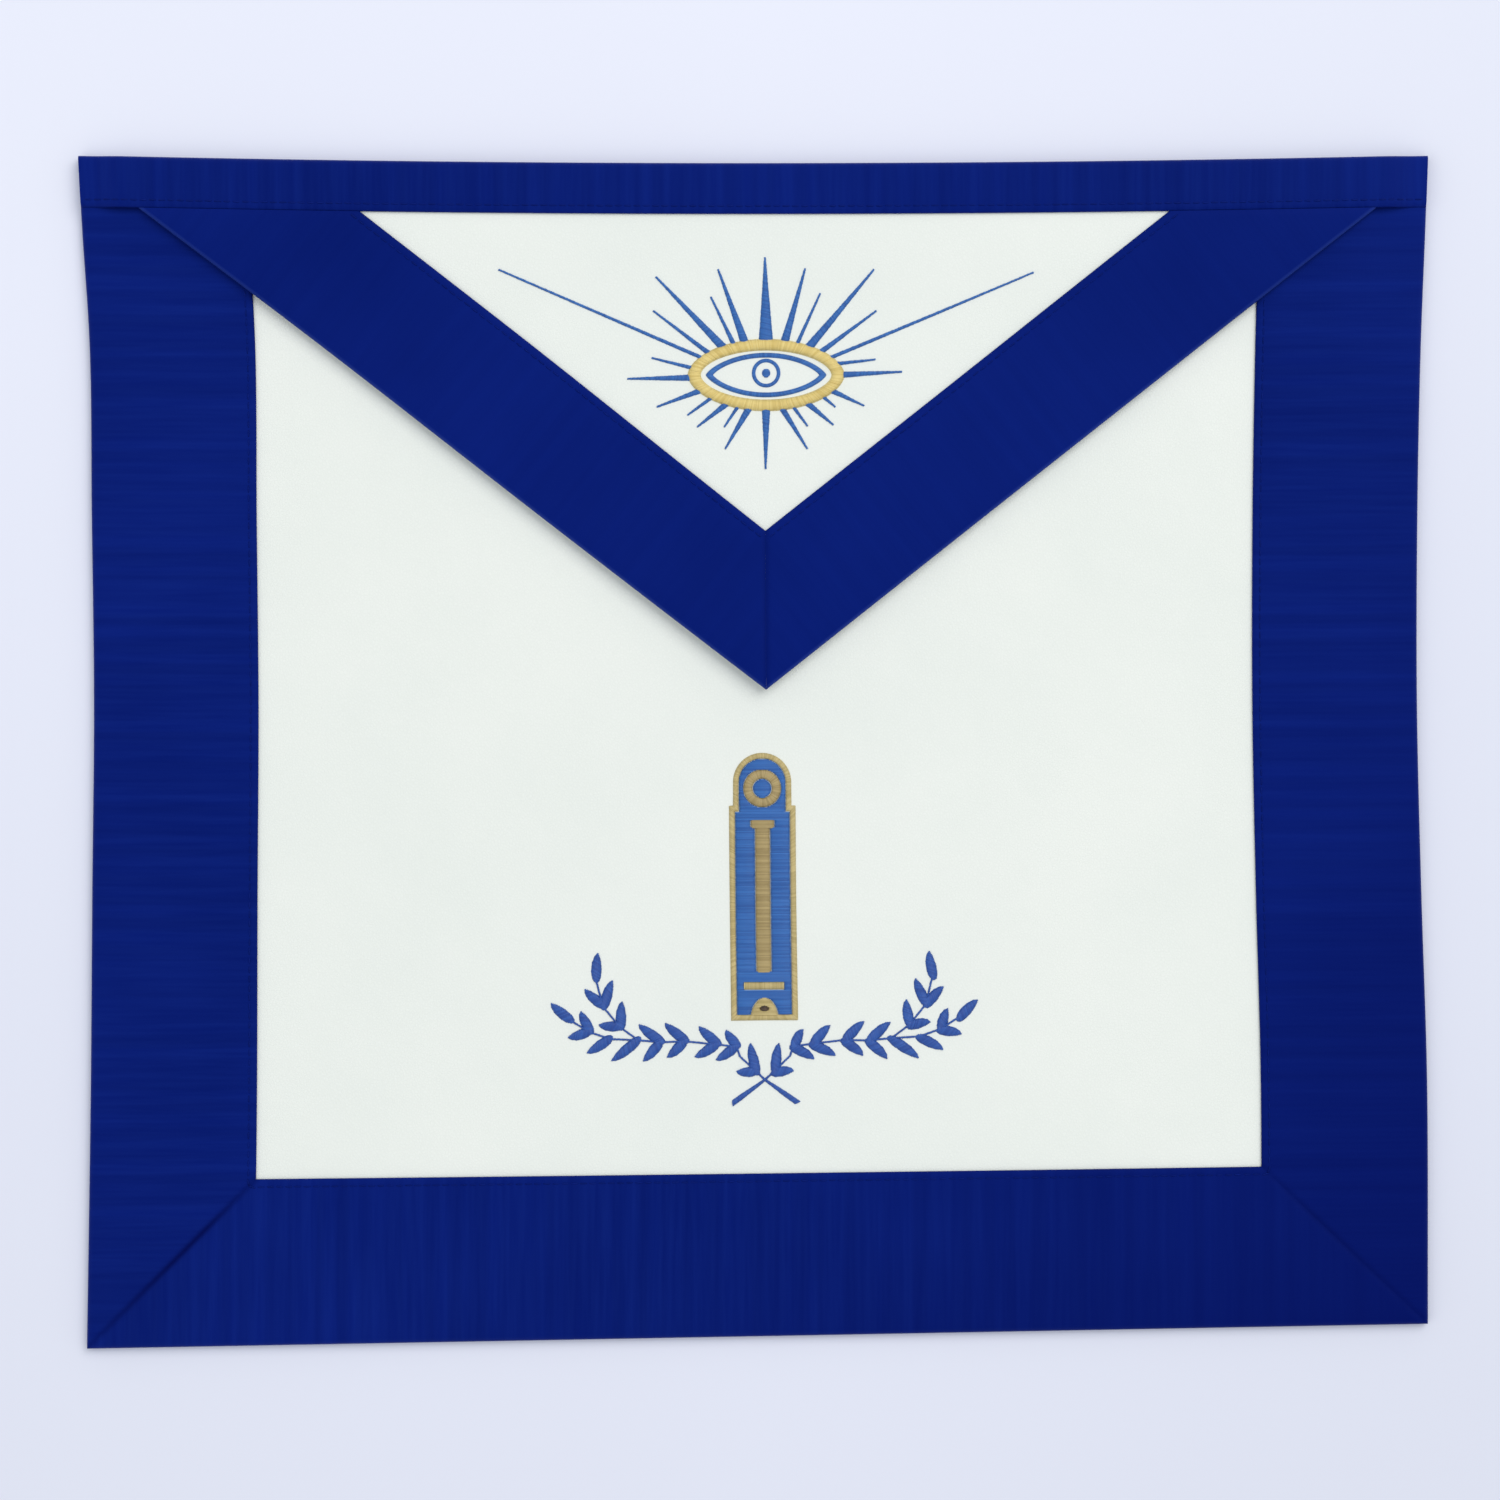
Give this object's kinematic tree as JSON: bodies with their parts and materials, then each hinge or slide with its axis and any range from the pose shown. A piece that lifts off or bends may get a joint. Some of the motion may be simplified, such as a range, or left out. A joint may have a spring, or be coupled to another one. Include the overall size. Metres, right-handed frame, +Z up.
{
  "type": "masonic apron",
  "caption": "Flat ceremonial apron: white leather panel and pointed flap, wide blue ribbon borders, embroidered eye with rays, plumb rule and leafy sprigs.",
  "frame": {"origin": "middle of the apron's outline, on the surface that it lies on", "axes": "+X to the right as the picture shows it, +Y towards the waist edge, +Z up out of the front"},
  "size_m": [0.4064, 0.359, 0.0066],
  "materials": {
    "white_leather": "fine grained white leather, matt",
    "blue_ribbon": "royal blue ribbed ribbon with a soft sheen",
    "blue_thread": "satin stitched blue thread",
    "gold_thread": "satin stitched gold thread",
    "dull_gold_thread": "satin stitched dull gold thread",
    "dark_thread": "dark brown thread"
  },
  "bodies": {
    "root": {"body_panel": "white_leather", "border_left": "blue_ribbon", "border_right": "blue_ribbon", "border_bottom": "blue_ribbon", "flap_panel": "white_leather", "flap_border_left": "blue_ribbon", "flap_border_right": "blue_ribbon", "waist_band": "blue_ribbon", "eye_rays": "blue_thread", "eye_rim": "gold_thread", "eye_outline": "blue_thread", "eye_iris": "blue_thread", "eye_pupil": "blue_thread", "plumb_frame": "dull_gold_thread", "plumb_field": "blue_thread", "plumb_ring": "dull_gold_thread", "plumb_boss": "blue_thread", "plumb_line": "dull_gold_thread", "plumb_bar": "dull_gold_thread", "plumb_bob": "dark_thread", "sprigs": "blue_thread"}
  },
  "joints": []
}
